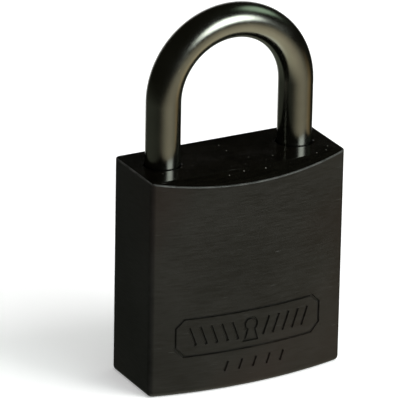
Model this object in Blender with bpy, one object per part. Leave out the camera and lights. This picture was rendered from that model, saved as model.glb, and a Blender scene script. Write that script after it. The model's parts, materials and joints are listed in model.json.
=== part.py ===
"""Padlock: solid aluminium body with a bowed front, round steel shackle and a five-pin cylinder.

Two balls, driven outwards by a cam on the cylinder plug, lock both legs of the shackle.
The origin is at the middle of the underside, +Z up, with the bowed front facing -Y and the
shackle's long heel leg on the -X side.  Every number below is in millimetres; each mesh is
scaled to metres when its object is made.  The model rests with the shackle pushed home and
the plug turned to its open position, so that the balls are drawn in.
"""

import math

import bmesh
import bpy
from mathutils import Matrix, Vector

MM = 0.001

# Body
BODY_WIDTH = 40.0
BODY_HEIGHT = 42.3
SIDE_DEPTH = 15.1
FRONT_BOW = 2.5
BODY_DEPTH = SIDE_DEPTH + FRONT_BOW
BACK_Y = BODY_DEPTH / 2
FRONT_Y = -BODY_DEPTH / 2
CORNER_RADIUS = 1.2
FOOT_ROUNDING = 0.9
TOP_CHAMFER = 0.25
FACET_DROP = 2.05
CORNER_STEPS = 6
CREASE_STEP = 2
BOW_STEPS = 14
FOOT_STEPS = 3

# Shackle
BAR_RADIUS = 3.25
LEG_SPACING = 27.3
HEEL_X = -LEG_SPACING / 2
TOE_X = LEG_SPACING / 2
LOCK_Y = 1.75
ARCH_CENTRE_Z = BODY_HEIGHT + 12.05
HEEL_END_Z = 18.0
TOE_END_Z = 30.5
LIFT = 12.0
LEG_END_CHAMFER = 0.6
BAR_SIDES = 24
ARCH_STEPS = 24

# Locking balls and cam
BALL_RADIUS = 3.0
BALL_Z = 35.0
BALL_LOCKED_X = 8.8
HEEL_BALL_OPEN_X = 7.9
TOE_BALL_OPEN_X = 7.25
NOTCH_RADIUS = BALL_RADIUS + 0.1
CHANNEL_RADIUS = BALL_RADIUS + 0.15
CAM_GAP = 0.15
CAM_BASE_Z = 29.2
CAM_TOP_Z = 38.2

# Bores in the body
LEG_BORE_RADIUS = 3.45
HEEL_BORE_FLOOR_Z = 11.0
TOE_BORE_FLOOR_Z = 29.8
CAVITY_RADIUS = 5.9
CAVITY_TOP_Z = 38.6
CROSS_BORE_RADIUS = NOTCH_RADIUS
THROUGH = 2.0
BORE_SIDES = 40

# Cylinder
PLUG_RADIUS = 4.75
PLUG_BORE_RADIUS = PLUG_RADIUS + 0.1
HOUSING_RADIUS = 5.8
HOUSING_BASE_Z = 0.3
HOUSING_TOP_Z = 27.0
BIBLE_END_X = 16.1
BIBLE_HALF_WIDTH = 2.5
BIBLE_GAP = 0.1
HEAD_RADIUS = 5.2
HEAD_TOP_Z = 1.0
KEYWAY_TOP_Z = 26.2
KEYWAY_WIDTH = 1.5
GROOVE_RADIUS = 3.9
GROOVE_BASE_Z = 27.2
GROOVE_TOP_Z = 28.1
PLUG_TOP_Z = 28.8
TANG_TOP_Z = 31.3
TANG_WIDTH = 2.4
TANG_LENGTH = 7.0

# Pin stacks
PIN_RADIUS = 1.2
CHAMBER_RADIUS = 1.3
FIRST_PIN_Z = 4.6
PIN_PITCH = 4.4
KEY_PIN_TIPS = (1.3, 2.1, 0.9, 1.7, 2.3)
CHAMBER_FLOOR = 0.4
DRIVER_START = PLUG_RADIUS + 0.1
DRIVER_LENGTH = 3.6
COVER_START_X = 15.0
COVER_THICKNESS = 0.8
PIN_SPRING_RADIUS = 0.85
PIN_SPRING_WIRE = 0.17

# Small parts
SCREW_RADIUS = 2.0
SCREW_BASE_Z = 25.4
SCREW_TOP_Z = 29.3
SCREW_SOCKET_ACROSS = 2.0
SCREW_SOCKET_DEPTH = 1.8
SHACKLE_SPRING_RADIUS = 2.4
SHACKLE_SPRING_WIRE = 0.4
SEAL_LENGTH = 2.4


# ---------------------------------------------------------------- scene helpers

def clear_scene():
    for obj in list(bpy.data.objects):
        bpy.data.objects.remove(obj, do_unlink=True)


def material(name, colour, roughness, metallic):
    mat = bpy.data.materials.new(name)
    mat.use_nodes = True
    shader = mat.node_tree.nodes["Principled BSDF"]
    shader.inputs["Base Color"].default_value = (*colour, 1.0)
    shader.inputs["Roughness"].default_value = roughness
    shader.inputs["Metallic"].default_value = metallic
    return mat


def add_object(name, bm, mat, location=(0, 0, 0), parent=None):
    """Make an object from a mesh in millimetres, placed in millimetres."""
    bmesh.ops.scale(bm, vec=(MM, MM, MM), verts=bm.verts)
    mesh = bpy.data.meshes.new(name)
    bm.to_mesh(mesh)
    bm.free()
    obj = bpy.data.objects.new(name, mesh)
    bpy.context.collection.objects.link(obj)
    obj.location = Vector(location) * MM
    obj.parent = parent
    if mat is not None:
        mesh.materials.append(mat)
        mesh.shade_smooth()
        mesh.set_sharp_from_angle(angle=math.radians(30))
    return obj


def combine(target, bm, operation, location=(0, 0, 0)):
    """Cut a solid from the target, or join one to it, with a Boolean modifier."""
    tool = add_object(f"{target.name}_tool", bm, None, location, target.parent)
    tool.hide_render = True
    tool.display_type = "WIRE"
    modifier = target.modifiers.new(tool.name, "BOOLEAN")
    modifier.operation = operation
    modifier.solver = "EXACT"
    modifier.object = tool


def cut(target, bm, location=(0, 0, 0)):
    combine(target, bm, "DIFFERENCE", location)


def join(target, bm, location=(0, 0, 0)):
    combine(target, bm, "UNION", location)


def empty_at(name, location):
    empty = bpy.data.objects.new(name, None)
    bpy.context.collection.objects.link(empty)
    empty.location = Vector(location) * MM
    return empty


# ---------------------------------------------------------------- solid helpers

def circle(radius, height, sides):
    angles = [math.tau * i / sides for i in range(sides)]
    return [Vector((radius * math.cos(a), radius * math.sin(a), height)) for a in angles]


def arc(centre, radius, start, end, steps):
    """Points of a plan arc, from the start angle to the end angle in degrees."""
    angles = [math.radians(start + (end - start) * i / steps) for i in range(steps + 1)]
    return [(centre[0] + radius * math.cos(a), centre[1] + radius * math.sin(a)) for a in angles]


def skin(rings):
    """Walls through equal rings of points: the open mesh and its loops of vertices."""
    bm = bmesh.new()
    loops = [[bm.verts.new(point) for point in ring] for ring in rings]
    count = len(loops[0])
    for lower, upper in zip(loops, loops[1:]):
        for i in range(count):
            j = (i + 1) % count
            bm.faces.new((lower[i], lower[j], upper[j], upper[i]))
    return bm, loops


def solid(rings):
    """Closed solid through equal rings of points, with a flat face on each end."""
    bm, loops = skin(rings)
    bm.faces.new(list(reversed(loops[0])))
    bm.faces.new(loops[-1])
    bmesh.ops.recalc_face_normals(bm, faces=bm.faces)
    return bm


def turned(profile, sides=BORE_SIDES, axis="Z"):
    """Solid of revolution from (radius, distance along the axis) pairs."""
    bm = solid([circle(radius, height, sides) for radius, height in profile])
    turns = {"X": Matrix.Rotation(math.pi / 2, 3, "Y"), "Y": Matrix.Rotation(-math.pi / 2, 3, "X")}
    if axis in turns:
        bmesh.ops.rotate(bm, cent=(0, 0, 0), matrix=turns[axis], verts=bm.verts)
    return bm


def rod(radius, start, end, sides=BORE_SIDES, axis="Z"):
    return turned([(radius, start), (radius, end)], sides, axis)


def prism(outline, start, end):
    """A plan outline, anticlockwise, raised from one height to another."""
    return solid([[Vector((x, y, z)) for x, y in outline] for z in (start, end)])


def block(x_range, y_range, z_range):
    corners = [(x_range[0], y_range[0]), (x_range[1], y_range[0]),
               (x_range[1], y_range[1]), (x_range[0], y_range[1])]
    return prism(corners, *z_range)


def ball(radius, sides=20, rows=12):
    bm = bmesh.new()
    bmesh.ops.create_uvsphere(bm, u_segments=sides, v_segments=rows, radius=radius)
    return bm


def coil(radius, wire, start, end, turns, steps_per_turn, sides=6):
    """Helical spring about Z, with its wire cut square at both ends."""
    first = start + wire
    rise = (end - start - 2 * wire) / turns
    slope = Vector((0, radius * math.tau, rise)).normalized()
    rings = []
    for step in range(turns * steps_per_turn + 1):
        turn = step / steps_per_turn
        spin = Matrix.Rotation(math.tau * turn, 3, "Z")
        centre = Vector((radius, 0, first + rise * turn))
        side = slope.cross(Vector((1, 0, 0)))
        section = [math.tau * k / sides for k in range(sides)]
        rings.append([spin @ (centre + wire * (math.cos(a) * Vector((1, 0, 0)) + math.sin(a) * side))
                      for a in section])
    return solid(rings)


# ---------------------------------------------------------------- body

def body_outline(inset):
    """Plan of the body, anticlockwise from the right end of the bow, moved in by the inset."""
    radius = CORNER_RADIUS - inset
    bow = (FRONT_BOW ** 2 + (BODY_WIDTH / 2) ** 2) / (2 * FRONT_BOW)
    bow_centre = FRONT_Y + bow
    corner_x = BODY_WIDTH / 2 - CORNER_RADIUS
    back_y = BACK_Y - CORNER_RADIUS
    reach = bow - CORNER_RADIUS
    front_y = bow_centre - math.sqrt(reach ** 2 - corner_x ** 2)
    spread = math.degrees(math.asin(corner_x / reach))
    points = arc((corner_x, front_y), radius, spread - 90, 0, CORNER_STEPS)
    points += arc((corner_x, back_y), radius, 0, 90, CORNER_STEPS)
    points += arc((-corner_x, back_y), radius, 90, 180, CORNER_STEPS)
    points += arc((-corner_x, front_y), radius, 180, 270 - spread, CORNER_STEPS)
    points += arc((0, bow_centre), bow - inset, -90 - spread, spread - 90, BOW_STEPS)[1:-1]
    return points


def top_ring(inset, height):
    """Ring that is level at the back and falls with the sloping facet at the front."""
    outline = body_outline(inset)
    crease_y = outline[CREASE_STEP][1]
    fall = FACET_DROP / (crease_y - min(y for _, y in outline))
    return [Vector((x, y, height - fall * max(0.0, crease_y - y))) for x, y in outline]


def body_blank():
    """The block before drilling: rounded foot, straight walls, small chamfer round the top."""
    rings = []
    for step in range(FOOT_STEPS + 1):
        angle = math.pi / 2 * step / FOOT_STEPS
        inset = FOOT_ROUNDING * (1 - math.sin(angle))
        height = FOOT_ROUNDING * (1 - math.cos(angle))
        rings.append([Vector((x, y, height)) for x, y in body_outline(inset)])
    rings.append(top_ring(0, BODY_HEIGHT - TOP_CHAMFER))
    rings.append(top_ring(TOP_CHAMFER, BODY_HEIGHT))
    bm, loops = skin(rings)
    bm.faces.new(list(reversed(loops[0])))
    top = loops[-1]
    left_crease = 4 * (CORNER_STEPS + 1) - 1 - CREASE_STEP
    bm.faces.new(top[CREASE_STEP:left_crease + 1])
    bm.faces.new(top[left_crease:] + top[:CREASE_STEP + 1])
    bmesh.ops.recalc_face_normals(bm, faces=bm.faces)
    return bm


def make_body(mat):
    body = add_object("lock_body", body_blank(), mat)
    above = BODY_HEIGHT + THROUGH
    axis = (0, LOCK_Y, 0)
    pocket = BIBLE_HALF_WIDTH + BIBLE_GAP
    cut(body, rod(CAVITY_RADIUS, -THROUGH, CAVITY_TOP_Z), axis)
    pocket_z = (-THROUGH, HOUSING_TOP_Z + BIBLE_GAP)
    cut(body, block((0, BIBLE_END_X + BIBLE_GAP), (-pocket, pocket), pocket_z), axis)
    cut(body, rod(LEG_BORE_RADIUS, HEEL_BORE_FLOOR_Z, above), (HEEL_X, LOCK_Y, 0))
    cut(body, rod(LEG_BORE_RADIUS, TOE_BORE_FLOOR_Z, above), (TOE_X, LOCK_Y, 0))
    cut(body, rod(CROSS_BORE_RADIUS, HEEL_X, BODY_WIDTH / 2 + THROUGH, axis="X"), (0, LOCK_Y, BALL_Z))
    cut(body, rod(SCREW_RADIUS + 0.1, HOUSING_TOP_Z - 1, TOE_BORE_FLOOR_Z + 1, 24), (TOE_X, LOCK_Y, 0))
    return body


def make_cross_bore_plug(mat):
    """Disc pressed into the outer end of the bore that the balls were fitted through."""
    outer = BODY_WIDTH / 2 - 0.05
    radius = CROSS_BORE_RADIUS - 0.05
    inner = outer - SEAL_LENGTH
    profile = [(radius - 0.2, inner), (radius, inner + 0.2), (radius, outer)]
    add_object("cross_bore_plug", turned(profile, axis="X"), mat, (0, LOCK_Y, BALL_Z))


# ---------------------------------------------------------------- shackle

def groove_radius(height):
    """Radius of the heel leg inside the round groove that the ball drops into."""
    ball_distance = BALL_LOCKED_X + HEEL_X
    return -ball_distance - math.sqrt(NOTCH_RADIUS ** 2 - height ** 2)


def heel_profile():
    """(radius, height) pairs up the heel leg, from its end to the start of the arch."""
    groove_z = BALL_Z - LIFT
    leg_gap = -HEEL_X - BALL_LOCKED_X - BAR_RADIUS
    half = math.sqrt(NOTCH_RADIUS ** 2 - leg_gap ** 2)
    steps = 8
    profile = [(BAR_RADIUS - LEG_END_CHAMFER, HEEL_END_Z), (BAR_RADIUS, HEEL_END_Z + LEG_END_CHAMFER)]
    for step in range(steps + 1):
        height = -half + 2 * half * step / steps
        profile.append((groove_radius(height), groove_z + height))
    profile.append((BAR_RADIUS, ARCH_CENTRE_Z))
    return profile


def bar_ring(centre_x, centre_z, angle, radius):
    """Section of the bar: angle is the direction from the arch's centre, in the arch's plane."""
    outward = Vector((math.cos(angle), 0, math.sin(angle)))
    sideways = Vector((0, 1, 0))
    centre = Vector((centre_x, 0, centre_z))
    section = [math.tau * k / BAR_SIDES for k in range(BAR_SIDES)]
    return [centre + radius * (math.cos(a) * outward + math.sin(a) * sideways) for a in section]


def shackle_bar():
    rings = [bar_ring(HEEL_X, height, math.pi, radius) for radius, height in heel_profile()]
    for step in range(1, ARCH_STEPS + 1):
        angle = math.pi * (1 - step / ARCH_STEPS)
        x = TOE_X * math.cos(angle)
        z = ARCH_CENTRE_Z + TOE_X * math.sin(angle)
        rings.append(bar_ring(x, z, angle, BAR_RADIUS))
    rings.append(bar_ring(TOE_X, TOE_END_Z + LEG_END_CHAMFER, 0, BAR_RADIUS))
    rings.append(bar_ring(TOE_X, TOE_END_Z, 0, BAR_RADIUS - LEG_END_CHAMFER))
    return solid(rings)


def make_shackle(mat):
    """Bar with a ball notch in each leg, and in the heel leg a channel down to a round groove."""
    origin = Vector((HEEL_X, LOCK_Y, 0))
    bm = shackle_bar()
    bmesh.ops.translate(bm, vec=(-HEEL_X, 0, 0), verts=bm.verts)
    shackle = add_object("shackle", bm, mat, origin)
    for x in (-BALL_LOCKED_X, BALL_LOCKED_X):
        cut(shackle, ball(NOTCH_RADIUS), (x, LOCK_Y, BALL_Z))
    cut(shackle, rod(CHANNEL_RADIUS, BALL_Z - LIFT, BALL_Z, 36), (-HEEL_BALL_OPEN_X, LOCK_Y, 0))


def make_shackle_spring(mat):
    bm = coil(SHACKLE_SPRING_RADIUS, SHACKLE_SPRING_WIRE, HEEL_BORE_FLOOR_Z + 0.1, HEEL_END_Z - 0.1, 5, 12)
    add_object("shackle_spring", bm, mat, (HEEL_X, LOCK_Y, 0))


# ---------------------------------------------------------------- balls and cam

def make_balls(mat):
    add_object("heel_ball", ball(BALL_RADIUS), mat, (-HEEL_BALL_OPEN_X, LOCK_Y, BALL_Z))
    add_object("toe_ball", ball(BALL_RADIUS), mat, (TOE_BALL_OPEN_X, LOCK_Y, BALL_Z))


def cam_radius(degrees):
    """Spiral flanks: lowest towards each ball when open, highest a quarter turn away."""
    lobe = BALL_LOCKED_X - BALL_RADIUS - CAM_GAP
    open_x = TOE_BALL_OPEN_X if math.cos(math.radians(degrees)) > 0 else HEEL_BALL_OPEN_X
    valley = open_x - BALL_RADIUS - CAM_GAP
    from_valley = abs((degrees + 90) % 180 - 90) / 90
    return valley + (lobe - valley) * from_valley


def make_cam(mat, plug_axis):
    angles = range(0, 360, 5)
    outline = [(cam_radius(a) * math.cos(math.radians(a)), cam_radius(a) * math.sin(math.radians(a)))
               for a in angles]
    cam = add_object("locking_cam", prism(outline, CAM_BASE_Z, CAM_TOP_Z), mat, parent=plug_axis)
    slot = TANG_WIDTH / 2 + 0.1
    reach = TANG_LENGTH / 2 + 0.15
    cut(cam, block((-slot, slot), (-reach, reach), (CAM_BASE_Z - 1, TANG_TOP_Z + 0.3)))


# ---------------------------------------------------------------- cylinder

def pin_heights():
    return [FIRST_PIN_Z + PIN_PITCH * i for i in range(len(KEY_PIN_TIPS))]


def housing_outline():
    """Plan of a round barrel with a flat-sided rib towards the toe leg."""
    rib = math.degrees(math.asin(BIBLE_HALF_WIDTH / HOUSING_RADIUS))
    barrel = arc((0, 0), HOUSING_RADIUS, rib, 360 - rib, 44)
    return barrel + [(BIBLE_END_X, -BIBLE_HALF_WIDTH), (BIBLE_END_X, BIBLE_HALF_WIDTH)]


def make_housing(mat):
    """Cylinder housing: the barrel holds the plug, and its rib holds the driver pins."""
    axis = (0, LOCK_Y, 0)
    bm = prism(housing_outline(), HOUSING_BASE_Z, HOUSING_TOP_Z)
    housing = add_object("cylinder_housing", bm, mat, axis)
    cut(housing, rod(PLUG_BORE_RADIUS, -1, HOUSING_TOP_Z + 1), axis)
    cut(housing, rod(HEAD_RADIUS + 0.15, -1, HEAD_TOP_Z + 0.15), axis)
    for height in pin_heights():
        cut(housing, rod(CHAMBER_RADIUS, PLUG_RADIUS - 1, COVER_START_X + 1, 24, "X"), (0, LOCK_Y, height))
    cover_z = (pin_heights()[0] - 2.1, pin_heights()[-1] + 2.1)
    cut(housing, block((COVER_START_X - 0.05, BIBLE_END_X + 1), (-2.0, 2.0), cover_z), axis)
    cut(housing, rod(SCREW_RADIUS + 0.1, SCREW_BASE_Z - 0.2, HOUSING_TOP_Z + 1, 24), (TOE_X, LOCK_Y, 0))


def keyway_outline():
    """Section of the keyway: an even slot with a jog, open at the bottom of the plug."""
    half = KEYWAY_WIDTH / 2
    path = [(0.2, -PLUG_RADIUS - 1), (0.2, -2.7), (-0.4, -2.1), (-0.4, -0.7), (0.2, -0.1), (0.2, 2.6)]
    return [(x + half, y) for x, y in path] + [(x - half, y) for x, y in reversed(path)]


def make_plug(mat, plug_axis):
    """Plug with its pin chambers turned towards +Y, its open position."""
    profile = [(HEAD_RADIUS - 0.2, HOUSING_BASE_Z), (HEAD_RADIUS, HOUSING_BASE_Z + 0.2),
               (HEAD_RADIUS, HEAD_TOP_Z), (PLUG_RADIUS, HEAD_TOP_Z), (PLUG_RADIUS, GROOVE_BASE_Z),
               (GROOVE_RADIUS, GROOVE_BASE_Z), (GROOVE_RADIUS, GROOVE_TOP_Z),
               (PLUG_RADIUS - 0.2, GROOVE_TOP_Z), (PLUG_RADIUS - 0.2, PLUG_TOP_Z)]
    plug = add_object("cylinder_plug", turned(profile), mat, parent=plug_axis)
    half_width = TANG_WIDTH / 2
    half_length = TANG_LENGTH / 2
    join(plug, block((-half_width, half_width), (-half_length, half_length), (PLUG_TOP_Z - 0.5, TANG_TOP_Z)))
    cut(plug, prism(keyway_outline(), -1, KEYWAY_TOP_Z))
    for height in pin_heights():
        cut(plug, rod(CHAMBER_RADIUS, CHAMBER_FLOOR, PLUG_RADIUS + 1, 24, "Y"), (0, 0, height))


def make_plug_clip(mat, plug_axis):
    """Open ring in the plug's groove, bearing on the top of the housing."""
    outline = arc((0, 0), 5.4, 30, 330, 30) + arc((0, 0), GROOVE_RADIUS + 0.1, 330, 30, 30)
    bm = prism(outline, GROOVE_BASE_Z + 0.15, GROOVE_TOP_Z - 0.15)
    add_object("plug_retaining_clip", bm, mat, parent=plug_axis)


def make_key_pin(number, height, tip, mat, plug_axis):
    end = PLUG_RADIUS - 0.05
    profile = [(0.45, tip), (PIN_RADIUS, tip + 0.6), (PIN_RADIUS, end - 0.15), (PIN_RADIUS - 0.25, end)]
    add_object(f"key_pin_{number}", turned(profile, 16, "Y"), mat, (0, 0, height), plug_axis)


def make_driver_pin(number, height, mat):
    """Driver pin; every second one has the narrow waist of a spool."""
    end = DRIVER_START + DRIVER_LENGTH
    profile = [(PIN_RADIUS - 0.2, DRIVER_START), (PIN_RADIUS, DRIVER_START + 0.2)]
    if number % 2 == 0:
        profile += [(PIN_RADIUS, DRIVER_START + 0.9), (PIN_RADIUS - 0.35, DRIVER_START + 1.1),
                    (PIN_RADIUS - 0.35, end - 1.1), (PIN_RADIUS, end - 0.9)]
    profile += [(PIN_RADIUS, end - 0.2), (PIN_RADIUS - 0.2, end)]
    add_object(f"driver_pin_{number}", turned(profile, 16, "X"), mat, (0, LOCK_Y, height))


def make_pin_spring(number, height, mat):
    start = DRIVER_START + DRIVER_LENGTH + 0.1
    bm = coil(PIN_SPRING_RADIUS, PIN_SPRING_WIRE, start, COVER_START_X - 0.1, 5, 8, 5)
    bmesh.ops.rotate(bm, cent=(0, 0, 0), matrix=Matrix.Rotation(math.pi / 2, 3, "Y"), verts=bm.verts)
    add_object(f"pin_spring_{number}", bm, mat, (0, LOCK_Y, height))


def make_chamber_cover(mat):
    """Strip that closes the outer ends of the pin chambers."""
    low = pin_heights()[0] - 2.0
    high = pin_heights()[-1] + 2.0
    bm = block((COVER_START_X, COVER_START_X + COVER_THICKNESS), (-1.9, 1.9), (low, high))
    add_object("chamber_cover", bm, mat, (0, LOCK_Y, 0))


def make_cylinder_screw(mat):
    """Socket set screw at the floor of the toe leg's bore, locking the cylinder in the body."""
    profile = [(SCREW_RADIUS - 0.4, SCREW_BASE_Z), (SCREW_RADIUS, SCREW_BASE_Z + 0.4),
               (SCREW_RADIUS, SCREW_TOP_Z - 0.3), (SCREW_RADIUS - 0.3, SCREW_TOP_Z)]
    screw = add_object("cylinder_screw", turned(profile, 24), mat, (TOE_X, LOCK_Y, 0))
    socket = SCREW_SOCKET_ACROSS / math.sqrt(3)
    cut(screw, rod(socket, SCREW_TOP_Z - SCREW_SOCKET_DEPTH, SCREW_TOP_Z + 1, 6), (TOE_X, LOCK_Y, 0))


# ---------------------------------------------------------------- assembly

def main():
    clear_scene()
    anodised = material("black_anodised_aluminium", (0.028, 0.027, 0.024), 0.38, 1.0)
    nickel = material("satin_nickel_steel", (0.46, 0.45, 0.41), 0.24, 1.0)
    ball_steel = material("ball_steel", (0.62, 0.62, 0.60), 0.12, 1.0)
    zinc = material("die_cast_zinc", (0.42, 0.43, 0.44), 0.45, 1.0)
    brass = material("cylinder_brass", (0.60, 0.45, 0.20), 0.32, 1.0)
    plug_brass = material("plug_brass", (0.66, 0.52, 0.26), 0.28, 1.0)
    pin_brass = material("pin_brass", (0.70, 0.52, 0.22), 0.25, 1.0)
    pin_nickel = material("pin_nickel_silver", (0.58, 0.56, 0.50), 0.25, 1.0)
    spring_steel = material("spring_steel", (0.50, 0.50, 0.50), 0.25, 1.0)
    clip_steel = material("clip_steel", (0.30, 0.30, 0.31), 0.35, 1.0)
    screw_steel = material("black_screw_steel", (0.10, 0.10, 0.11), 0.40, 1.0)

    make_body(anodised)
    make_cross_bore_plug(anodised)
    make_shackle(nickel)
    make_shackle_spring(spring_steel)
    make_balls(ball_steel)

    plug_axis = empty_at("plug_axis", (0, LOCK_Y, 0))
    make_cam(zinc, plug_axis)
    make_housing(brass)
    make_plug(plug_brass, plug_axis)
    make_plug_clip(clip_steel, plug_axis)
    for number, (height, tip) in enumerate(zip(pin_heights(), KEY_PIN_TIPS), start=1):
        make_key_pin(number, height, tip, pin_brass, plug_axis)
        make_driver_pin(number, height, pin_nickel)
        make_pin_spring(number, height, spring_steel)
    make_chamber_cover(brass)
    make_cylinder_screw(screw_steel)


main()
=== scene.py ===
"""Looks of a black anodised padlock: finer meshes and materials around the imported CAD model.

The visible pieces are rebuilt at a finer resolution from the boxes and joints of the CAD frame.
Lengths are in metres; MM turns a number of millimetres into metres.
"""

import json
import math

import bmesh
import bpy
from mathutils import Matrix, Vector


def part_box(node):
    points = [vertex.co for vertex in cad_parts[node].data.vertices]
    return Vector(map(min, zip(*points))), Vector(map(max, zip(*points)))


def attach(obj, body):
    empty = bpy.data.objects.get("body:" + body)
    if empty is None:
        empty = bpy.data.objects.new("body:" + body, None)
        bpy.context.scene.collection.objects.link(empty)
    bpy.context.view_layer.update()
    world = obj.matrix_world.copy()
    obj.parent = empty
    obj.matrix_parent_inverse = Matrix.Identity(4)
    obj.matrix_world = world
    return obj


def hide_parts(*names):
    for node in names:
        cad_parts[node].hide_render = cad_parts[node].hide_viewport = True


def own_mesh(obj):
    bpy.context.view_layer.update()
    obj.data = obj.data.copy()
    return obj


MM = 0.001

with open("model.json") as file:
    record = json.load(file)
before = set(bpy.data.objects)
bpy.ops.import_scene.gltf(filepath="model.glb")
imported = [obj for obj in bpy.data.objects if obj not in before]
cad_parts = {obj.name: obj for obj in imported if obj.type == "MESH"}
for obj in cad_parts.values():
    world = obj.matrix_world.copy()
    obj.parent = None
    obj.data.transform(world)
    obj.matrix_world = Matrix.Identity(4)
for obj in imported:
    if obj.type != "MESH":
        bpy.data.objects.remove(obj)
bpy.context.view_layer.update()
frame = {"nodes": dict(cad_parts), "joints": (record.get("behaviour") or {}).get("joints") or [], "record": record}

# ---------------------------------------------------------------- sizes from the frame

BODY_LOW, BODY_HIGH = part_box("lock_body")
SHACKLE_LOW, SHACKLE_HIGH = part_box("shackle")
PLUG_LOW, PLUG_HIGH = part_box("cylinder_plug")
HOUSING_LOW, HOUSING_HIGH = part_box("cylinder_housing")
HEEL_BALL_LOW, HEEL_BALL_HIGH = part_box("heel_ball")
TOE_BALL_LOW, TOE_BALL_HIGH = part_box("toe_ball")
SEAL_LOW, SEAL_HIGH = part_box("cross_bore_plug")
SCREW_LOW, SCREW_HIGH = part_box("cylinder_screw")
JOINTS = {joint["name"]: joint for joint in frame["joints"]}

HALF_WIDTH = BODY_HIGH.x
BACK_Y = BODY_HIGH.y
FRONT_Y = BODY_LOW.y
TOP_Z = BODY_HIGH.z
FRONT_BOW = 2.5 * MM
CORNER_RADIUS = 1.2 * MM
FOOT_ROUNDING = 0.9 * MM
TOP_CHAMFER = 0.25 * MM
FACET_DROP = 2.05 * MM

FIT_GAP = 0.1 * MM
RUNNING_GAP = 0.15 * MM

BAR_RADIUS = (SHACKLE_HIGH.y - SHACKLE_LOW.y) / 2
LOCK_Y = (SHACKLE_HIGH.y + SHACKLE_LOW.y) / 2
LOCK_AXIS = (0, LOCK_Y, 0)
HEEL_X = SHACKLE_LOW.x + BAR_RADIUS
TOE_X = SHACKLE_HIGH.x - BAR_RADIUS
ARCH_CENTRE_Z = SHACKLE_HIGH.z - BAR_RADIUS - TOE_X
HEEL_END_Z = SHACKLE_LOW.z
TOE_END_Z = 30.5 * MM
LIFT = JOINTS["shackle_lift"]["range_m"][1]
LEG_END_CHAMFER = 0.6 * MM

BALL_RADIUS = 3.0 * MM
BALL_Z = (HEEL_BALL_HIGH.z + HEEL_BALL_LOW.z) / 2
HEEL_BALL_X = (HEEL_BALL_HIGH.x + HEEL_BALL_LOW.x) / 2
TOE_BALL_X = (TOE_BALL_HIGH.x + TOE_BALL_LOW.x) / 2
BALL_LOCKED_X = TOE_BALL_X + JOINTS["toe_ball_slide"]["range_m"][1]
NOTCH_RADIUS = BALL_RADIUS + FIT_GAP
CHANNEL_RADIUS = BALL_RADIUS + RUNNING_GAP

LEG_BORE_RADIUS = BAR_RADIUS + 0.2 * MM
HEEL_BORE_FLOOR_Z = 11.0 * MM
TOE_BORE_FLOOR_Z = 29.8 * MM
CAVITY_RADIUS = 5.9 * MM
CAVITY_TOP_Z = 38.6 * MM
RIB_HALF_WIDTH = 2.5 * MM
THROUGH = 2.0 * MM

PLUG_RADIUS = 4.75 * MM
HEAD_RADIUS = (PLUG_HIGH.x - PLUG_LOW.x) / 2
SCREW_BORE_RADIUS = (SCREW_HIGH.y - SCREW_LOW.y) / 2 + FIT_GAP
HOLE_SIDES = 48


# ---------------------------------------------------------------- mesh helpers

def arc(centre, radius, start, end, steps):
    """Points of a plan arc, from the start angle to the end angle in degrees."""
    angles = [math.radians(start + (end - start) * i / steps) for i in range(steps + 1)]
    return [(centre[0] + radius * math.cos(a), centre[1] + radius * math.sin(a)) for a in angles]


def circle(radius, height, sides):
    angles = [math.tau * i / sides for i in range(sides)]
    return [Vector((radius * math.cos(a), radius * math.sin(a), height)) for a in angles]


def skin(rings):
    """Walls through equal rings of points: the open mesh and its loops of vertices."""
    bm = bmesh.new()
    loops = [[bm.verts.new(point) for point in ring] for ring in rings]
    count = len(loops[0])
    for lower, upper in zip(loops, loops[1:]):
        for i in range(count):
            j = (i + 1) % count
            bm.faces.new((lower[i], lower[j], upper[j], upper[i]))
    return bm, loops


def solid(rings):
    """Closed solid through equal rings of points, with a flat face on each end."""
    bm, loops = skin(rings)
    bm.faces.new(list(reversed(loops[0])))
    bm.faces.new(loops[-1])
    bmesh.ops.recalc_face_normals(bm, faces=bm.faces)
    return bm


def turned(profile, sides=96, axis="Z"):
    """Solid of revolution from (radius, distance along the axis) pairs."""
    bm = solid([circle(radius, height, sides) for radius, height in profile])
    turns = {"X": Matrix.Rotation(math.pi / 2, 3, "Y"), "Y": Matrix.Rotation(-math.pi / 2, 3, "X")}
    if axis in turns:
        bmesh.ops.rotate(bm, cent=(0, 0, 0), matrix=turns[axis], verts=bm.verts)
    return bm


def prism(outline, start, end):
    """A plan outline, anticlockwise, raised from one height to another."""
    return solid([[Vector((x, y, z)) for x, y in outline] for z in (start, end)])


def block(x_range, y_range, z_range):
    corners = [(x_range[0], y_range[0]), (x_range[1], y_range[0]),
               (x_range[1], y_range[1]), (x_range[0], y_range[1])]
    return prism(corners, *z_range)


def ball(radius, sides=48, rows=32):
    bm = bmesh.new()
    bmesh.ops.create_uvsphere(bm, u_segments=sides, v_segments=rows, radius=radius)
    return bm


def make_object(name, bm, offset=(0, 0, 0)):
    bmesh.ops.translate(bm, vec=offset, verts=bm.verts)
    mesh = bpy.data.meshes.new(name)
    bm.to_mesh(mesh)
    bm.free()
    obj = bpy.data.objects.new(name, mesh)
    bpy.context.scene.collection.objects.link(obj)
    return obj


def cut_away(target, cutters):
    """Cut every (mesh, place) from the target and keep the result as its mesh."""
    tools = [make_object("tool", bm, offset) for bm, offset in cutters]
    for tool in tools:
        modifier = target.modifiers.new("cut", "BOOLEAN")
        modifier.operation = "DIFFERENCE"
        modifier.solver = "EXACT"
        modifier.object = tool
    apply_modifiers(target)
    for tool in tools:
        bpy.data.objects.remove(tool, do_unlink=True)


def apply_modifiers(obj):
    depsgraph = bpy.context.evaluated_depsgraph_get()
    mesh = bpy.data.meshes.new_from_object(obj.evaluated_get(depsgraph))
    obj.modifiers.clear()
    obj.data = mesh


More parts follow.
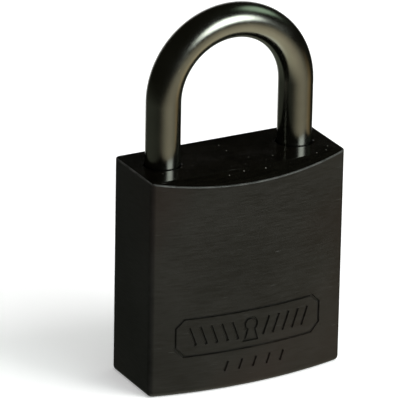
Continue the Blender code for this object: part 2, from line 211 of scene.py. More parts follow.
def shade(obj, degrees=30):
    """Smooth shading that keeps flat faces flat and edges over the angle sharp."""
    obj.data.shade_smooth()
    obj.data.set_sharp_from_angle(angle=math.radians(degrees))
    modifier = obj.modifiers.new("normals", "WEIGHTED_NORMAL")
    modifier.keep_sharp = True
    modifier.weight = 100


def bevel(obj, width):
    modifier = obj.modifiers.new("edges", "BEVEL")
    modifier.width = width
    modifier.segments = 3
    apply_modifiers(obj)


def set_finish(obj, *finishes):
    obj.data.materials.clear()
    for finish in finishes:
        obj.data.materials.append(finish)


def place(obj, body, nodes):
    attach(obj, body)
    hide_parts(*nodes)


# ---------------------------------------------------------------- node helpers

class Nodes:
    """Short names for adding nodes and links to one material or world."""

    def __init__(self, tree):
        self.tree = tree

    def add(self, kind, **settings):
        node = self.tree.nodes.new(kind)
        for name, value in settings.items():
            if name in node.inputs:
                node.inputs[name].default_value = value
            else:
                setattr(node, name, value)
        return node

    def link(self, source, target):
        self.tree.links.new(source, target)

    def coords(self, scale=(1, 1, 1), rotation=(0, 0, 0)):
        texture = self.add("ShaderNodeTexCoord")
        mapping = self.add("ShaderNodeMapping", Rotation=rotation, Scale=scale)
        self.link(texture.outputs["Object"], mapping.inputs["Vector"])
        return mapping.outputs["Vector"]

    def noise(self, vector, scale, detail=3.0, roughness=0.55):
        node = self.add("ShaderNodeTexNoise", Scale=scale, Detail=detail, Roughness=roughness)
        self.link(vector, node.inputs["Vector"])
        return node.outputs["Fac"]

    def ramp(self, value, low, high, to_low=0.0, to_high=1.0):
        node = self.add("ShaderNodeMapRange")
        node.inputs["From Min"].default_value = low
        node.inputs["From Max"].default_value = high
        node.inputs["To Min"].default_value = to_low
        node.inputs["To Max"].default_value = to_high
        self.link(value, node.inputs["Value"])
        return node.outputs["Result"]

    def math(self, operation, first, second):
        node = self.add("ShaderNodeMath", operation=operation)
        for socket, value in zip(node.inputs, (first, second)):
            if isinstance(value, (int, float)):
                socket.default_value = value
            else:
                self.link(value, socket)
        return node.outputs["Value"]

    def mix(self, factor, first, second, blend="MIX"):
        """Blend two colours, each a tuple or a socket; the factor is a number or a socket."""
        node = self.add("ShaderNodeMix", data_type="RGBA", blend_type=blend)
        sockets = [s for s in node.inputs if s.enabled]
        for socket, value in zip(sockets, (factor, first, second)):
            if isinstance(value, tuple):
                socket.default_value = (*value, 1.0)
            elif isinstance(value, float):
                socket.default_value = value
            else:
                self.link(value, socket)
        return next(s for s in node.outputs if s.enabled)

    def bump(self, shader, height, strength, distance):
        """Roughen a shader's surface by a height pattern."""
        node = self.add("ShaderNodeBump", Strength=strength, Distance=distance)
        self.link(height, node.inputs["Height"])
        self.link(node.outputs["Normal"], shader.inputs["Normal"])


def principled(name, colour, roughness, metallic):
    mat = bpy.data.materials.new(name)
    mat.use_nodes = True
    shader = mat.node_tree.nodes["Principled BSDF"]
    shader.inputs["Base Color"].default_value = (*colour, 1.0)
    shader.inputs["Roughness"].default_value = roughness
    shader.inputs["Metallic"].default_value = metallic
    return mat, Nodes(mat.node_tree), shader


# ---------------------------------------------------------------- materials

WARM_BLACK = (0.020, 0.007, 0.005)
MARK_GREY = (0.16, 0.16, 0.15)
# Bare aluminium colour of the worn edges, which also serves as a painted highlight along the top edges.
BARE_ALUMINIUM_HIGHLIGHT = (0.55, 0.55, 0.52)
DUST_ON_BLACK = (0.30, 0.29, 0.26)
DUST_ON_NICKEL = (0.85, 0.84, 0.80)


def anodised(name, colour, roughness, grain, wear_and_highlight=0.0, specks=0.0, blotch=0.0):
    """Black anodised aluminium: grain drawn out along X and Y, soft blotches, worn bare spots that also paint a
    highlight line on the edges, and dust.
    """
    mat, nodes, shader = principled(name, colour, roughness, 0.0)
    shader.inputs["Anisotropic"].default_value = 0.5
    around = nodes.add("ShaderNodeTangent", direction_type="RADIAL", axis="Z")
    nodes.link(around.outputs["Tangent"], shader.inputs["Tangent"])
    coarse = nodes.noise(nodes.coords((1, 1, 11)), 300.0, 4.0, 0.65)
    fine = nodes.noise(nodes.coords((1, 1, 24)), 560.0, 3.0, 0.6)
    cloud = nodes.noise(nodes.coords(), 55.0, 2.0)
    lines = nodes.math("ADD", nodes.math("MULTIPLY", coarse, 0.6), nodes.math("MULTIPLY", fine, 0.4))
    polish = nodes.ramp(lines, 0.38, 0.62, roughness * 0.8, roughness * 1.25)
    nodes.link(polish, shader.inputs["Roughness"])
    tone = nodes.math("ADD", nodes.math("MULTIPLY", lines, 0.7), nodes.math("MULTIPLY", cloud, 0.3))
    darker = tuple(c * 0.45 for c in colour)
    lighter = tuple(c * 1.7 for c in colour)
    paint = nodes.mix(nodes.ramp(tone, 0.4, 0.6), darker, lighter)
    warm = nodes.ramp(nodes.noise(nodes.coords(), 38.0, 1.0), 0.5, 0.68, 0.0, blotch)
    paint = nodes.mix(warm, paint, WARM_BLACK)
    paint = nodes.mix(nodes.math("MULTIPLY", scratches(nodes), 0.5), paint, MARK_GREY)
    # Worn bare metal on the edges; its amount is set so that it also paints the bright highlight line along the
    # top edges.
    if wear_and_highlight:
        bare_and_highlight = nodes.ramp(nodes.noise(nodes.coords(), 420.0, 5.0, 0.7), 0.30, 0.70, 0.0, wear_and_highlight)
        paint = nodes.mix(bare_and_highlight, paint, BARE_ALUMINIUM_HIGHLIGHT)
        nodes.link(bare_and_highlight, shader.inputs["Metallic"])
    if specks:
        paint = nodes.mix(dust(nodes, specks), paint, DUST_ON_BLACK)
    nodes.link(paint, shader.inputs["Base Color"])
    nodes.bump(shader, lines, grain, 0.03 * MM)
    return mat


def scratches(nodes):
    """Sparse hairline marks: the peaks of a noise drawn out on a slant."""
    slanted = nodes.coords((1.0, 1.0, 30.0), (0.0, 0.5, 0.0))
    return nodes.ramp(nodes.noise(slanted, 260.0, 1.0), 0.76, 0.82)


def dust(nodes, amount):
    """Tiny light specks in some cells of a cell pattern."""
    cells = nodes.add("ShaderNodeTexVoronoi", Scale=900.0)
    nodes.link(nodes.coords(), cells.inputs["Vector"])
    near = nodes.ramp(cells.outputs["Distance"], 0.10, 0.06)
    split = nodes.add("ShaderNodeSeparateColor")
    nodes.link(cells.outputs["Color"], split.inputs["Color"])
    chosen = nodes.ramp(split.outputs["Red"], 1.0 - amount, 1.02 - amount)
    return nodes.math("MULTIPLY", near, chosen)


def satin_nickel():
    """Satin-ground, nickel-plated bar with a fine bite, faint cloudiness and a few nicks."""
    mat, nodes, shader = principled("satin_nickel", (0.36, 0.352, 0.315), 0.27, 1.0)
    fine = nodes.noise(nodes.coords((1, 0.35, 1)), 2300.0, 4.0, 0.7)
    cloud = nodes.noise(nodes.coords(), 150.0, 4.0)
    bite = nodes.math("ADD", nodes.math("MULTIPLY", cloud, 0.5), nodes.math("MULTIPLY", fine, 0.5))
    nodes.link(nodes.ramp(bite, 0.35, 0.65, 0.16, 0.27), shader.inputs["Roughness"])
    plating = nodes.mix(nodes.ramp(cloud, 0.3, 0.7), (0.33, 0.322, 0.288), (0.39, 0.382, 0.342))
    plating = nodes.mix(dust(nodes, 0.05), plating, DUST_ON_NICKEL)
    nodes.link(plating, shader.inputs["Base Color"])
    nodes.bump(shader, fine, 0.5, 0.012 * MM)
    return mat


def plain_metal(name, colour, roughness):
    """Bare metal with a slow change of polish and a faint grain."""
    mat, nodes, shader = principled(name, colour, roughness, 1.0)
    cloud = nodes.noise(nodes.coords(), 400.0, 3.0)
    polish = nodes.ramp(cloud, 0.3, 0.7, roughness - 0.06, roughness + 0.06)
    nodes.link(polish, shader.inputs["Roughness"])
    nodes.bump(shader, nodes.noise(nodes.coords((1, 1, 6)), 1500.0, 2.0), 0.1, 0.01 * MM)
    return mat


def machined_brass(name, colour):
    """Brass with fine turning marks, a slow change of tone and a little tarnish."""
    mat, nodes, shader = principled(name, colour, 0.28, 1.0)
    marks = nodes.noise(nodes.coords(), 2400.0, 3.0, 0.6)
    cloud = nodes.noise(nodes.coords(), 260.0, 4.0, 0.6)
    tarnish = tuple(c * 0.6 for c in colour)
    nodes.link(nodes.mix(nodes.ramp(cloud, 0.42, 0.68), colour, tarnish), shader.inputs["Base Color"])
    nodes.link(nodes.ramp(cloud, 0.3, 0.7, 0.22, 0.42), shader.inputs["Roughness"])
    nodes.bump(shader, marks, 0.25, 0.01 * MM)
    return mat


# ---------------------------------------------------------------- body

CORNER_STEPS = 12
CREASE_STEP = 4
BOW_STEPS = 96
FOOT_STEPS = 6
EDGE_STEPS = 3
BOW_RADIUS = (FRONT_BOW ** 2 + HALF_WIDTH ** 2) / (2 * FRONT_BOW)
BOW_CENTRE_Y = FRONT_Y + BOW_RADIUS


def front_y(x):
    """The y of the bowed front at a given x."""
    return BOW_CENTRE_Y - math.sqrt(BOW_RADIUS ** 2 - x ** 2)


def body_outline(inset):
    """Plan of the body, anticlockwise from the right end of the bow, moved in by the inset."""
    radius = CORNER_RADIUS - inset
    corner_x = HALF_WIDTH - CORNER_RADIUS
    back_y = BACK_Y - CORNER_RADIUS
    reach = BOW_RADIUS - CORNER_RADIUS
    corner_y = BOW_CENTRE_Y - math.sqrt(reach ** 2 - corner_x ** 2)
    spread = math.degrees(math.asin(corner_x / reach))
    points = arc((corner_x, corner_y), radius, spread - 90, 0, CORNER_STEPS)
    points += arc((corner_x, back_y), radius, 0, 90, CORNER_STEPS)
    points += arc((-corner_x, back_y), radius, 90, 180, CORNER_STEPS)
    points += arc((-corner_x, corner_y), radius, 180, 270 - spread, CORNER_STEPS)
    points += arc((0, BOW_CENTRE_Y), BOW_RADIUS - inset, -90 - spread, spread - 90, BOW_STEPS)[1:-1]
    return points


def top_ring(inset, height):
    """Ring that is level at the back and falls with the sloping facet at the front."""
    outline = body_outline(inset)
    crease_y = outline[CREASE_STEP][1]
    fall = FACET_DROP / (crease_y - min(y for _, y in outline))
    return [Vector((x, y, height - fall * max(0.0, crease_y - y))) for x, y in outline]


def body_blank():
    """The body before it is bored: rounded foot, level top and sloping front facet."""
    rings = []
    for step in range(FOOT_STEPS + 1):
        angle = math.pi / 2 * step / FOOT_STEPS
        inset = FOOT_ROUNDING * (1 - math.sin(angle))
        height = FOOT_ROUNDING * (1 - math.cos(angle))
        rings.append([Vector((x, y, height)) for x, y in body_outline(inset)])
    for step in range(EDGE_STEPS + 1):
        angle = math.pi / 2 * step / EDGE_STEPS
        inset = TOP_CHAMFER * (1 - math.cos(angle))
        rings.append(top_ring(inset, TOP_Z - TOP_CHAMFER * (1 - math.sin(angle))))
    bm, loops = skin(rings)
    bm.faces.new(list(reversed(loops[0])))
    top = loops[-1]
    left_crease = 4 * (CORNER_STEPS + 1) - 1 - CREASE_STEP
    bm.faces.new(top[CREASE_STEP:left_crease + 1])
    bm.faces.new(top[left_crease:] + top[:CREASE_STEP + 1])
    bmesh.ops.recalc_face_normals(bm, faces=bm.faces)
    return bm


def body_cutters():
    """Cutters for the cylinder, the shackle's legs, the balls and the screw, each with its place."""
    above = TOP_Z + THROUGH
    mouth = 0.2 * MM
    leg = [(LEG_BORE_RADIUS, TOP_Z - mouth), (LEG_BORE_RADIUS + mouth + THROUGH, above)]
    half = RIB_HALF_WIDTH + FIT_GAP
    rib_pocket = block((0, HOUSING_HIGH.x + FIT_GAP), (-half, half), (-THROUGH, HOUSING_HIGH.z + FIT_GAP))
    across = turned([(NOTCH_RADIUS, HEEL_X), (NOTCH_RADIUS, HALF_WIDTH + THROUGH)], axis="X")
    screw_ends = (HOUSING_HIGH.z - MM, TOE_BORE_FLOOR_Z + MM)
    screw = turned([(SCREW_BORE_RADIUS, end) for end in screw_ends], HOLE_SIDES)
    return [
        (screw, (TOE_X, LOCK_Y, 0)),
        (turned([(CAVITY_RADIUS, -THROUGH), (CAVITY_RADIUS, CAVITY_TOP_Z)]), LOCK_AXIS),
        (rib_pocket, LOCK_AXIS),
        (turned([(LEG_BORE_RADIUS, HEEL_BORE_FLOOR_Z)] + leg), (HEEL_X, LOCK_Y, 0)),
        (turned([(LEG_BORE_RADIUS, TOE_BORE_FLOOR_Z)] + leg), (TOE_X, LOCK_Y, 0)),
        (across, (0, LOCK_Y, BALL_Z)),
    ]


# Engraved low on the front: a frame with cut corners, a keyhole, slanted bars and a row of strokes.
PANEL_X = (-15.3 * MM, 14.5 * MM)
PANEL_Z = (7.7 * MM, 15.1 * MM)
PANEL_CORNER = 1.7 * MM
GROOVE_WIDTH = 0.55 * MM
GROOVE_FLOOR = 0.30 * MM
GROOVE_DEPTH = 0.32 * MM
GROOVE_PITCH = 1.0 * MM
BAR_SLANT = 1.3 * MM
BAR_PITCH = 2.1 * MM
BAR_COUNT = 5
BAR_START = 3.2 * MM
BAR_Z = (9.6 * MM, 13.2 * MM)
KEYHOLE_X = -0.4 * MM
KEYHOLE_RADIUS = 1.25 * MM
KEYHOLE_RISE = 0.8 * MM
KEYHOLE_DROP = 2.3 * MM
KEYHOLE_HALF_FOOT = 1.3 * MM
TICK_HALF_SLANT = 0.35 * MM
TICK_Z = (3.6 * MM, 5.6 * MM)
TICK_X = (-5.3 * MM, -2.4 * MM, 0.5 * MM, 3.4 * MM, 6.3 * MM)


def split_path(corners, closed):
    """Corners in the X-Z plane with points between them, close enough to follow the bow."""
    pairs = list(zip(corners, corners[1:] + corners[:1]))
    if not closed:
        pairs = pairs[:-1]
    points = []
    for first, second in pairs:
        parts = max(1, round((second - first).length / GROOVE_PITCH))
        points += [first.lerp(second, i / parts) for i in range(parts)]
    return points if closed else points + [corners[-1]]


def groove(corners, closed):
    """Cutter for an engraved line along a path on the bowed front, with sloping walls."""
    points = split_path([Vector(corner) for corner in corners], closed)
    count = len(points)
    half_floor = GROOVE_FLOOR / 2
    half_rim = GROOVE_WIDTH / 2 * (2 - GROOVE_FLOOR / GROOVE_WIDTH)
    section = ((-half_rim, -GROOVE_DEPTH), (-half_floor, GROOVE_DEPTH),
               (half_floor, GROOVE_DEPTH), (half_rim, -GROOVE_DEPTH))
    rings = []
    for i, point in enumerate(points):
        before = points[i - 1] if closed or i else point
        after = points[(i + 1) % count] if closed or i < count - 1 else point
        into = (point - before).normalized()
        out = (after - point).normalized()
        along = (into + out).normalized()
        across = Vector((-along.y, along.x)) / max(0.5, along.dot(out if out.length else into))
        ring = []
        for offset, depth in section:
            corner = point + across * offset
            ring.append(Vector((corner.x, front_y(corner.x) + depth, corner.y)))
        rings.append(ring)
    bm, loops = skin(rings)
    if closed:
        for i in range(4):
            j = (i + 1) % 4
            bm.faces.new((loops[-1][i], loops[-1][j], loops[0][j], loops[0][i]))
    else:
        bm.faces.new(list(reversed(loops[0])))
        bm.faces.new(loops[-1])
    bmesh.ops.recalc_face_normals(bm, faces=bm.faces)
    return bm


def keyhole():
    """Cutter for the engraved outline of a keyhole."""
    middle = sum(PANEL_Z) / 2
    head = arc((KEYHOLE_X, middle + KEYHOLE_RISE), KEYHOLE_RADIUS, -55, 235, 14)
    foot_z = middle - KEYHOLE_DROP
    foot = [(KEYHOLE_X - KEYHOLE_HALF_FOOT, foot_z), (KEYHOLE_X + KEYHOLE_HALF_FOOT, foot_z)]
    return groove(head + foot, True)


def panel_cutters():
    """Cutters for the whole engraving."""
    (left, right), (low, high) = PANEL_X, PANEL_Z
    corner = PANEL_CORNER
    border = [
        (left + corner, low), (right - corner, low), (right, low + corner), (right, high - corner),
        (right - corner, high), (left + corner, high), (left, high - corner), (left, low + corner)]
    cutters = [groove(border, True), keyhole()]
    for side in (-1, 1):
        for bar in range(BAR_COUNT):
            x = KEYHOLE_X + side * (BAR_START + bar * BAR_PITCH)
            slant = side * BAR_SLANT / 2
            cutters.append(groove([(x - slant, BAR_Z[0]), (x + slant, BAR_Z[1])], False))
    for x in TICK_X:
        ends = [(x - TICK_HALF_SLANT, TICK_Z[0]), (x + TICK_HALF_SLANT, TICK_Z[1])]
        cutters.append(groove(ends, False))
    return [(cutter, (0, 0, 0)) for cutter in cutters]


BORE_INSET = 1.0 * MM
BORE_BELOW_FACET = 0.5 * MM
GROOVE_SKIN = 0.1 * MM
UPWARD_NORMAL_Z = 0.1
FRONT_NORMAL_Y = -0.85


def body_material_index(centre, normal):
    """0 brushed front, 1 glossy top, 2 satin sides, back and underside, 3 bores, 4 worn edges with a painted
    highlight.
    """
    behind_front = centre.y - front_y(centre.x)
    edge = min(HALF_WIDTH - abs(centre.x), BACK_Y - centre.y, behind_front)
    below_top = TOP_Z - centre.z
    if min(edge, centre.z) > BORE_INSET and below_top > FACET_DROP + BORE_BELOW_FACET:
        return 3
    if normal.z > UPWARD_NORMAL_Z and below_top < FACET_DROP + TOP_CHAMFER:
        return 4 if edge < TOP_CHAMFER else 1
    if normal.y < FRONT_NORMAL_Y or GROOVE_SKIN < behind_front < GROOVE_DEPTH:
        return 0
    return 2


def make_body():
    body = make_object("body_shell", body_blank())
    cut_away(body, body_cutters() + panel_cutters())
    set_finish(
        body,
        anodised("anodised_front", (0.0098, 0.0090, 0.0077), 0.42, 0.45, blotch=0.35),
        # The top's colour is kept far darker than the front's: painted shade on the top.
        anodised("anodised_top_painted_shade", (0.0018, 0.0015, 0.0010), 0.12, 0.05, specks=0.26),
        anodised("anodised_side", (0.0080, 0.0074, 0.0060), 0.38, 0.20, blotch=0.3),
        anodised("anodised_bore", (0.0020, 0.0020, 0.0018), 0.45, 0.10),
        # Edge finish: real wear whose bare metal also paints the highlight line along the top edges.
        anodised("anodised_edge_highlight", (0.0060, 0.0058, 0.0050), 0.32, 0.15, wear_and_highlight=0.13))
    for face in body.data.polygons:
        face.material_index = body_material_index(face.center, face.normal)
    shade(body)
    place(body, "case", ["lock_body"])


# ---------------------------------------------------------------- shackle

BAR_SIDES = 72
ARCH_STEPS = 96
GROOVE_STEPS = 24


def heel_profile():
    """(radius, height) pairs up the heel leg, with the round groove that stops the lift."""
    groove_z = BALL_Z - LIFT
    leg_gap = -HEEL_X - BALL_LOCKED_X
    half = math.sqrt(NOTCH_RADIUS ** 2 - (leg_gap - BAR_RADIUS) ** 2)
    profile = [(BAR_RADIUS - LEG_END_CHAMFER, HEEL_END_Z), (BAR_RADIUS, HEEL_END_Z + LEG_END_CHAMFER)]
    for step in range(GROOVE_STEPS + 1):
        height = -half + 2 * half * step / GROOVE_STEPS
        profile.append((leg_gap - math.sqrt(NOTCH_RADIUS ** 2 - height ** 2), groove_z + height))
    profile.append((BAR_RADIUS, ARCH_CENTRE_Z))
    return profile


def bar_ring(centre_x, centre_z, angle, radius):
    """Section of the bar: angle is the direction from the arch's centre, in the arch's plane."""
    outward = Vector((math.cos(angle), 0, math.sin(angle)))
    centre = Vector((centre_x, LOCK_Y, centre_z))
    section = [math.tau * k / BAR_SIDES for k in range(BAR_SIDES)]
    return [centre + radius * (math.cos(a) * outward + math.sin(a) * Vector((0, 1, 0))) for a in section]


def shackle_bar():
    """Round bar up the heel leg, over the arch and down the toe leg."""
    rings = [bar_ring(HEEL_X, height, math.pi, radius) for radius, height in heel_profile()]
    for step in range(1, ARCH_STEPS + 1):
        angle = math.pi * (1 - step / ARCH_STEPS)
        height = ARCH_CENTRE_Z + TOE_X * math.sin(angle)
        rings.append(bar_ring(TOE_X * math.cos(angle), height, angle, BAR_RADIUS))
    rings.append(bar_ring(TOE_X, TOE_END_Z + LEG_END_CHAMFER, 0, BAR_RADIUS))
    rings.append(bar_ring(TOE_X, TOE_END_Z, 0, BAR_RADIUS - LEG_END_CHAMFER))
    return solid(rings)


def make_shackle():
    shackle = make_object("shackle_bar", shackle_bar())
    channel = turned([(CHANNEL_RADIUS, BALL_Z - LIFT), (CHANNEL_RADIUS, BALL_Z)])
    cut_away(shackle, [
        (ball(NOTCH_RADIUS), (-BALL_LOCKED_X, LOCK_Y, BALL_Z)),
        (ball(NOTCH_RADIUS), (BALL_LOCKED_X, LOCK_Y, BALL_Z)),
        (channel, (HEEL_BALL_X, LOCK_Y, 0)),
    ])
    set_finish(shackle, satin_nickel())
    shade(shackle)
    place(shackle, "shackle", ["shackle"])


# ---------------------------------------------------------------- cylinder and bore plug

CYLINDER_SIDES = 96
HOUSING_RADIUS = 5.8 * MM
HEAD_TOP_Z = 1.0 * MM
PLUG_TOP_Z = 28.8 * MM
CLIP_GROOVE = (27.2 * MM, 28.1 * MM, 4.2 * MM)
TANG_SIZE = (2.4 * MM, 7.0 * MM)
KEYWAY_WIDTH = 1.5 * MM
KEYWAY_TOP_Z = 26.2 * MM
CHAMBER_RADIUS = 1.3 * MM
CHAMBER_FLOOR = 0.4 * MM
COVER_START_X = 15.0 * MM
COVER_HALF_WIDTH = 2.0 * MM
COVER_REACH = 2.1 * MM
COVER_GAP = 0.05 * MM
PLUG_CHAMFER = 0.2 * MM
PIN_HEIGHTS = [sum(corner.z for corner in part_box(f"key_pin_{number}")) / 2 for number in range(1, 6)]
EDGE_BREAK = 0.12 * MM


def keyway_outline(grow=0.0):
    """Plan of the keyway, which steps aside once; grow widens its sides and its closed end."""
    half = KEYWAY_WIDTH / 2 + grow
    path = [(0.2, -5.75), (0.2, -2.7), (-0.4, -2.1), (-0.4, -0.7), (0.2, -0.1), (0.2, 2.6)]
    path = [(x * MM, y * MM + (grow if y > 0 else 0.0)) for x, y in path]
    return [(x + half, y) for x, y in path] + [(x - half, y) for x, y in reversed(path)]


def keyway_mouth():
    """Cutter that breaks the edge of the keyway where the key goes in."""
    rings = []
    for grow, height in ((2 * EDGE_BREAK, PLUG_LOW.z - EDGE_BREAK), (0.0, PLUG_LOW.z + EDGE_BREAK)):
        rings.append([Vector((x, y, height)) for x, y in keyway_outline(grow)])
    return solid(rings)


def make_plug():
    base, top, neck = CLIP_GROOVE
    tail = PLUG_RADIUS - PLUG_CHAMFER
    profile = [
        (HEAD_RADIUS - PLUG_CHAMFER, PLUG_LOW.z), (HEAD_RADIUS, PLUG_LOW.z + PLUG_CHAMFER),
        (HEAD_RADIUS, HEAD_TOP_Z), (PLUG_RADIUS, HEAD_TOP_Z), (PLUG_RADIUS, base), (neck, base),
        (neck, top), (tail, top), (tail, PLUG_TOP_Z)]
    plug = make_object("plug_body", turned(profile, CYLINDER_SIDES), LOCK_AXIS)
    keyway = prism(keyway_outline(), -THROUGH, KEYWAY_TOP_Z)
    cutters = [(keyway, LOCK_AXIS), (keyway_mouth(), LOCK_AXIS)]
    for height in PIN_HEIGHTS:
        chamber = turned([(CHAMBER_RADIUS, CHAMBER_FLOOR), (CHAMBER_RADIUS, HEAD_RADIUS + THROUGH)],
                         HOLE_SIDES, "Y")
        cutters.append((chamber, (0, LOCK_Y, height)))
    cut_away(plug, cutters)
    set_finish(plug, machined_brass("faced_plug_brass", (0.60, 0.47, 0.24)))
    shade(plug)
    place(plug, "plug", ["cylinder_plug"])


def make_tang():
    """Flat tail of the plug, which turns the cam."""
    width, length = (size / 2 for size in TANG_SIZE)
    tang = make_object("plug_tang", block((-width, width), (-length, length), (PLUG_TOP_Z, PLUG_HIGH.z)),
                       LOCK_AXIS)
    bevel(tang, EDGE_BREAK)
    set_finish(tang, machined_brass("tang_brass", (0.58, 0.45, 0.22)))
    shade(tang)
    place(tang, "plug", ["cylinder_plug"])


def make_housing():
    """Barrel with a rib for the driver pins, open for the plug, the pins, their cover and the screw."""
    rib = math.degrees(math.asin(RIB_HALF_WIDTH / HOUSING_RADIUS))
    outline = arc((0, 0), HOUSING_RADIUS, rib, 360 - rib, CYLINDER_SIDES)
    outline += [(HOUSING_HIGH.x, -RIB_HALF_WIDTH), (HOUSING_HIGH.x, RIB_HALF_WIDTH)]
    housing = make_object("housing_body", prism(outline, HOUSING_LOW.z, HOUSING_HIGH.z), LOCK_AXIS)
    bore = PLUG_RADIUS + FIT_GAP
    head = HEAD_RADIUS + RUNNING_GAP
    mouth = turned([(head + 2 * EDGE_BREAK, HOUSING_LOW.z - EDGE_BREAK), (head, HOUSING_LOW.z + EDGE_BREAK),
                    (head, HEAD_TOP_Z + RUNNING_GAP)], CYLINDER_SIDES)
    through_bore = turned([(bore, -THROUGH), (bore, HOUSING_HIGH.z + THROUGH)], CYLINDER_SIDES)
    cutters = [(through_bore, LOCK_AXIS), (mouth, LOCK_AXIS)]
    for height in PIN_HEIGHTS:
        chamber = turned([(CHAMBER_RADIUS, PLUG_RADIUS - MM), (CHAMBER_RADIUS, COVER_START_X + MM)],
                         HOLE_SIDES, "X")
        cutters.append((chamber, (0, LOCK_Y, height)))
    cover_x = (COVER_START_X - COVER_GAP, HOUSING_HIGH.x + MM)
    cover_y = (-COVER_HALF_WIDTH, COVER_HALF_WIDTH)
    cover_z = (PIN_HEIGHTS[0] - COVER_REACH, PIN_HEIGHTS[-1] + COVER_REACH)
    cutters.append((block(cover_x, cover_y, cover_z), LOCK_AXIS))
    seat_ends = (SCREW_LOW.z - 0.2 * MM, HOUSING_HIGH.z + THROUGH)
    seat = turned([(SCREW_BORE_RADIUS, end) for end in seat_ends], HOLE_SIDES)
    cutters.append((seat, (TOE_X, LOCK_Y, 0)))
    cut_away(housing, cutters)
    set_finish(housing, machined_brass("faced_housing_brass", (0.50, 0.39, 0.20)))
    shade(housing)
    place(housing, "case", ["cylinder_housing"])


PIN_SPRING_TURNS = 5
PIN_SPRING_WIRE = 0.17 * MM
WIRE_SIDES = 10
STEPS_PER_TURN = 18


def wound_wire(radius, wire, start, end, turns):
    """Round wire wound along X, with its ends in the spring's end planes."""
    steps = turns * STEPS_PER_TURN
    rise = (end - start - 2 * wire) / steps
    rings = []
    for step in range(steps + 1):
        turn = math.tau * step / STEPS_PER_TURN
        outward = Vector((0, math.cos(turn), math.sin(turn)))
        centre = radius * outward + Vector((start + wire + rise * step, 0, 0))
        rings.append([centre + wire * (math.cos(a) * outward + math.sin(a) * Vector((1, 0, 0)))
                      for a in (math.tau * k / WIRE_SIDES for k in range(WIRE_SIDES))])
    return solid(rings)


def make_pin_springs():
    """Springs behind the driver pins."""
    finish = plain_metal("bright_spring_wire", (0.58, 0.57, 0.54), 0.22)
    for number, height in enumerate(PIN_HEIGHTS, 1):
        low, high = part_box(f"pin_spring_{number}")
        radius = (high.y - low.y) / 2 - PIN_SPRING_WIRE
        bm = wound_wire(radius, PIN_SPRING_WIRE, low.x, high.x, PIN_SPRING_TURNS)
        spring = make_object(f"pin_coil_{number}", bm, (0, LOCK_Y, height))
        set_finish(spring, finish)
        shade(spring, 60)
        place(spring, "case", [f"pin_spring_{number}"])
        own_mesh(spring)


def make_bore_plug():
    """Disc pressed into the cross bore, almost flush with the side and finished like it."""
    radius = (SEAL_HIGH.y - SEAL_LOW.y) / 2
    profile = [(radius - 0.2 * MM, SEAL_LOW.x), (radius, SEAL_LOW.x + 0.2 * MM),
               (radius, SEAL_HIGH.x - 0.1 * MM), (radius - 0.1 * MM, SEAL_HIGH.x)]
    plug = make_object("bore_plug", turned(profile, CYLINDER_SIDES, "X"), (0, LOCK_Y, BALL_Z))
    set_finish(plug, anodised("anodised_plug", (0.0085, 0.0080, 0.0070), 0.38, 0.20))
    shade(plug)
    place(plug, "case", ["cross_bore_plug"])


# ---------------------------------------------------------------- carried-over pieces

def dress_carried_nodes():
    """Give the CAD pieces that keep their shape a material of their own kind."""
    finishes = {
        "spring_steel": plain_metal("drawn_wire", (0.50, 0.50, 0.50), 0.25),
        "ball_steel": plain_metal("polished_ball", (0.62, 0.62, 0.60), 0.12),
        "die_cast_zinc": plain_metal("cast_zinc", (0.42, 0.43, 0.44), 0.45),
        "pin_brass": machined_brass("turned_brass", (0.70, 0.52, 0.22)),
        "pin_nickel_silver": plain_metal("turned_nickel", (0.58, 0.56, 0.50), 0.25),
        "clip_steel": plain_metal("blued_clip", (0.30, 0.30, 0.31), 0.35),
        "black_screw_steel": plain_metal("black_oxide", (0.08, 0.08, 0.09), 0.40),
        "cylinder_brass": machined_brass("cover_brass", (0.55, 0.43, 0.22)),
    }
    for part in frame["record"]["subparts"]:
        node = frame["nodes"][part["node"]]
        if not node.hide_render:
            set_finish(node, finishes[part["material_slot"]])


# ---------------------------------------------------------------- camera, floor and light

CAMERA_AZIMUTH = -28.75
CAMERA_ELEVATION = 22.86
CAMERA_ROLL = 1.23
CAMERA_DISTANCE = 0.920
CAMERA_LENS = 450.0
CAMERA_TARGET = Vector((0, LOCK_Y - 0.5 * MM, 25 * MM))
AIM_LEFT = 5.17 * MM
AIM_UP = 7.35 * MM


def direction(azimuth, elevation):
    """Unit vector towards a place in the room; azimuth 0 is straight in front of the lock."""
    a = math.radians(azimuth)
    e = math.radians(elevation)
    return Vector((math.sin(a) * math.cos(e), -math.cos(a) * math.cos(e), math.sin(e)))


def make_camera():
    """Long lens from the front left, a little above the lock and slightly rolled."""
    roll = math.radians(CAMERA_ROLL)
    back = direction(CAMERA_AZIMUTH, CAMERA_ELEVATION)
    side = (-back).cross(Vector((0, 0, 1))).normalized()
    up = side.cross(-back)
    right = side * math.cos(roll) + up * math.sin(roll)
    rolled_up = up * math.cos(roll) - side * math.sin(roll)
    aim = CAMERA_TARGET - right * AIM_LEFT + rolled_up * AIM_UP
    data = bpy.data.cameras.new("camera")
    data.lens = CAMERA_LENS
    data.sensor_width = 36.0
    data.clip_start = 0.05
    data.clip_end = 50.0
    camera = bpy.data.objects.new("camera", data)
    bpy.context.scene.collection.objects.link(camera)
    position = CAMERA_TARGET + back * CAMERA_DISTANCE
    forward = (aim - position).normalized()
    true_right = forward.cross(rolled_up).normalized()
    true_up = true_right.cross(forward)
    camera.matrix_world = Matrix((
        (true_right.x, true_up.x, -forward.x, position.x),
        (true_right.y, true_up.y, -forward.y, position.y),
        (true_right.z, true_up.z, -forward.z, position.z),
        (0, 0, 0, 1)))
    bpy.context.scene.camera = camera


FLOOR_HALF_SIZE = 3.0
FLOOR_GAP = 0.02 * MM
FLOOR_WHITE = (0.86, 0.86, 0.86)
FLOOR_GLOW = 0.38


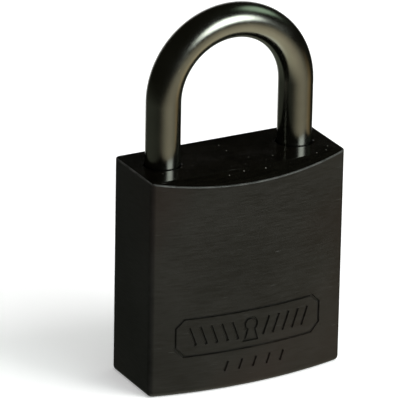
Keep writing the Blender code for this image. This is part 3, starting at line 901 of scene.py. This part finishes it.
def make_floor():
    """Plain white floor; its underside lets the view through, so that the lock's base can be seen."""
    bm = bmesh.new()
    bmesh.ops.create_grid(bm, x_segments=1, y_segments=1, size=FLOOR_HALF_SIZE)
    floor = make_object("floor", bm, (0, 0, -FLOOR_GAP))
    mat, nodes, shader = principled("white_floor", FLOOR_WHITE, 0.9, 0.0)
    shader.inputs["Specular IOR Level"].default_value = 0.0
    shader.inputs["Emission Color"].default_value = (1.0, 1.0, 1.0, 1.0)
    shader.inputs["Emission Strength"].default_value = FLOOR_GLOW
    clear = nodes.add("ShaderNodeBsdfTransparent")
    side = nodes.add("ShaderNodeNewGeometry")
    mixed = nodes.add("ShaderNodeMixShader")
    nodes.link(side.outputs["Backfacing"], mixed.inputs[0])
    nodes.link(shader.outputs["BSDF"], mixed.inputs[1])
    nodes.link(clear.outputs["BSDF"], mixed.inputs[2])
    nodes.link(mixed.outputs["Shader"], mat.node_tree.nodes["Material Output"].inputs["Surface"])
    floor.data.materials.append(mat)
    floor.visible_glossy = False


# Soft bright patches of the room: azimuth, elevation and half width in degrees, and colour.
SOFT_PATCHES = [
    (22, 21, 24, (4.80, 5.35, 5.15)),
    (18, -61, 62, (0.57, 0.53, 0.39)),
    (72, -30, 24, (0.20, 0.14, 0.06)),
    (-40, -81, 30, (0.40, 0.48, 0.50)),
    (91, 42, 22, (0.60, 0.84, 0.64)),
    (160, -12, 32, (0.92, 0.92, 0.92)),
    (-130, -80, 80, (0.11, 0.125, 0.10)),
]
ROOM_COLOUR = (0.010, 0.010, 0.007, 1.0)
BACKDROP_COLOUR = (0.98, 0.98, 0.98, 1.0)


def make_world():
    """Dim room with soft bright patches; the camera itself sees a white backdrop instead."""
    world = bpy.data.worlds.new("studio")
    bpy.context.scene.world = world
    world.use_nodes = True
    nodes = Nodes(world.node_tree)
    background = world.node_tree.nodes["Background"]
    view = nodes.add("ShaderNodeTexCoord").outputs["Generated"]
    total = nodes.add("ShaderNodeRGB").outputs["Color"]
    total.default_value = ROOM_COLOUR
    for azimuth, elevation, half_width, colour in SOFT_PATCHES:
        dot = nodes.add("ShaderNodeVectorMath", operation="DOT_PRODUCT")
        nodes.link(view, dot.inputs[0])
        dot.inputs[1].default_value = direction(azimuth, elevation)
        amount = nodes.ramp(dot.outputs["Value"], math.cos(math.radians(half_width)), 1.0)
        amount.node.interpolation_type = "SMOOTHSTEP"
        patch = nodes.mix(amount, (0.0, 0.0, 0.0), colour)
        total = nodes.mix(1.0, total, patch, "ADD")
    nodes.link(total, background.inputs["Color"])
    backdrop = nodes.add("ShaderNodeBackground", Color=BACKDROP_COLOUR)
    seen = nodes.add("ShaderNodeLightPath")
    mixed = nodes.add("ShaderNodeMixShader")
    nodes.link(seen.outputs["Is Camera Ray"], mixed.inputs[0])
    nodes.link(background.outputs["Background"], mixed.inputs[1])
    nodes.link(backdrop.outputs["Background"], mixed.inputs[2])
    nodes.link(mixed.outputs["Shader"], world.node_tree.nodes["World Output"].inputs["Surface"])


def soft_sun(name, azimuth, elevation, strength, angle):
    """Wide, even lamp that lights the floor and the body's own colour but isn't mirrored."""
    data = bpy.data.lights.new(name, "SUN")
    data.energy = strength
    data.angle = math.radians(angle)
    light = bpy.data.objects.new(name, data)
    bpy.context.scene.collection.objects.link(light)
    light.rotation_mode = "QUATERNION"
    light.rotation_quaternion = direction(azimuth, elevation).to_track_quat("Z", "Y")
    light.visible_glossy = False


def make_lights():
    soft_sun("overhead", 40, 76, 1.30, 80)
    soft_sun("key", 44, 50, 1.45, 24)


def main():
    make_body()
    make_shackle()
    make_plug()
    make_tang()
    make_housing()
    make_pin_springs()
    make_bore_plug()
    dress_carried_nodes()
    make_camera()
    make_floor()
    make_world()
    make_lights()
    bpy.context.scene.view_settings.view_transform = "Standard"


main()
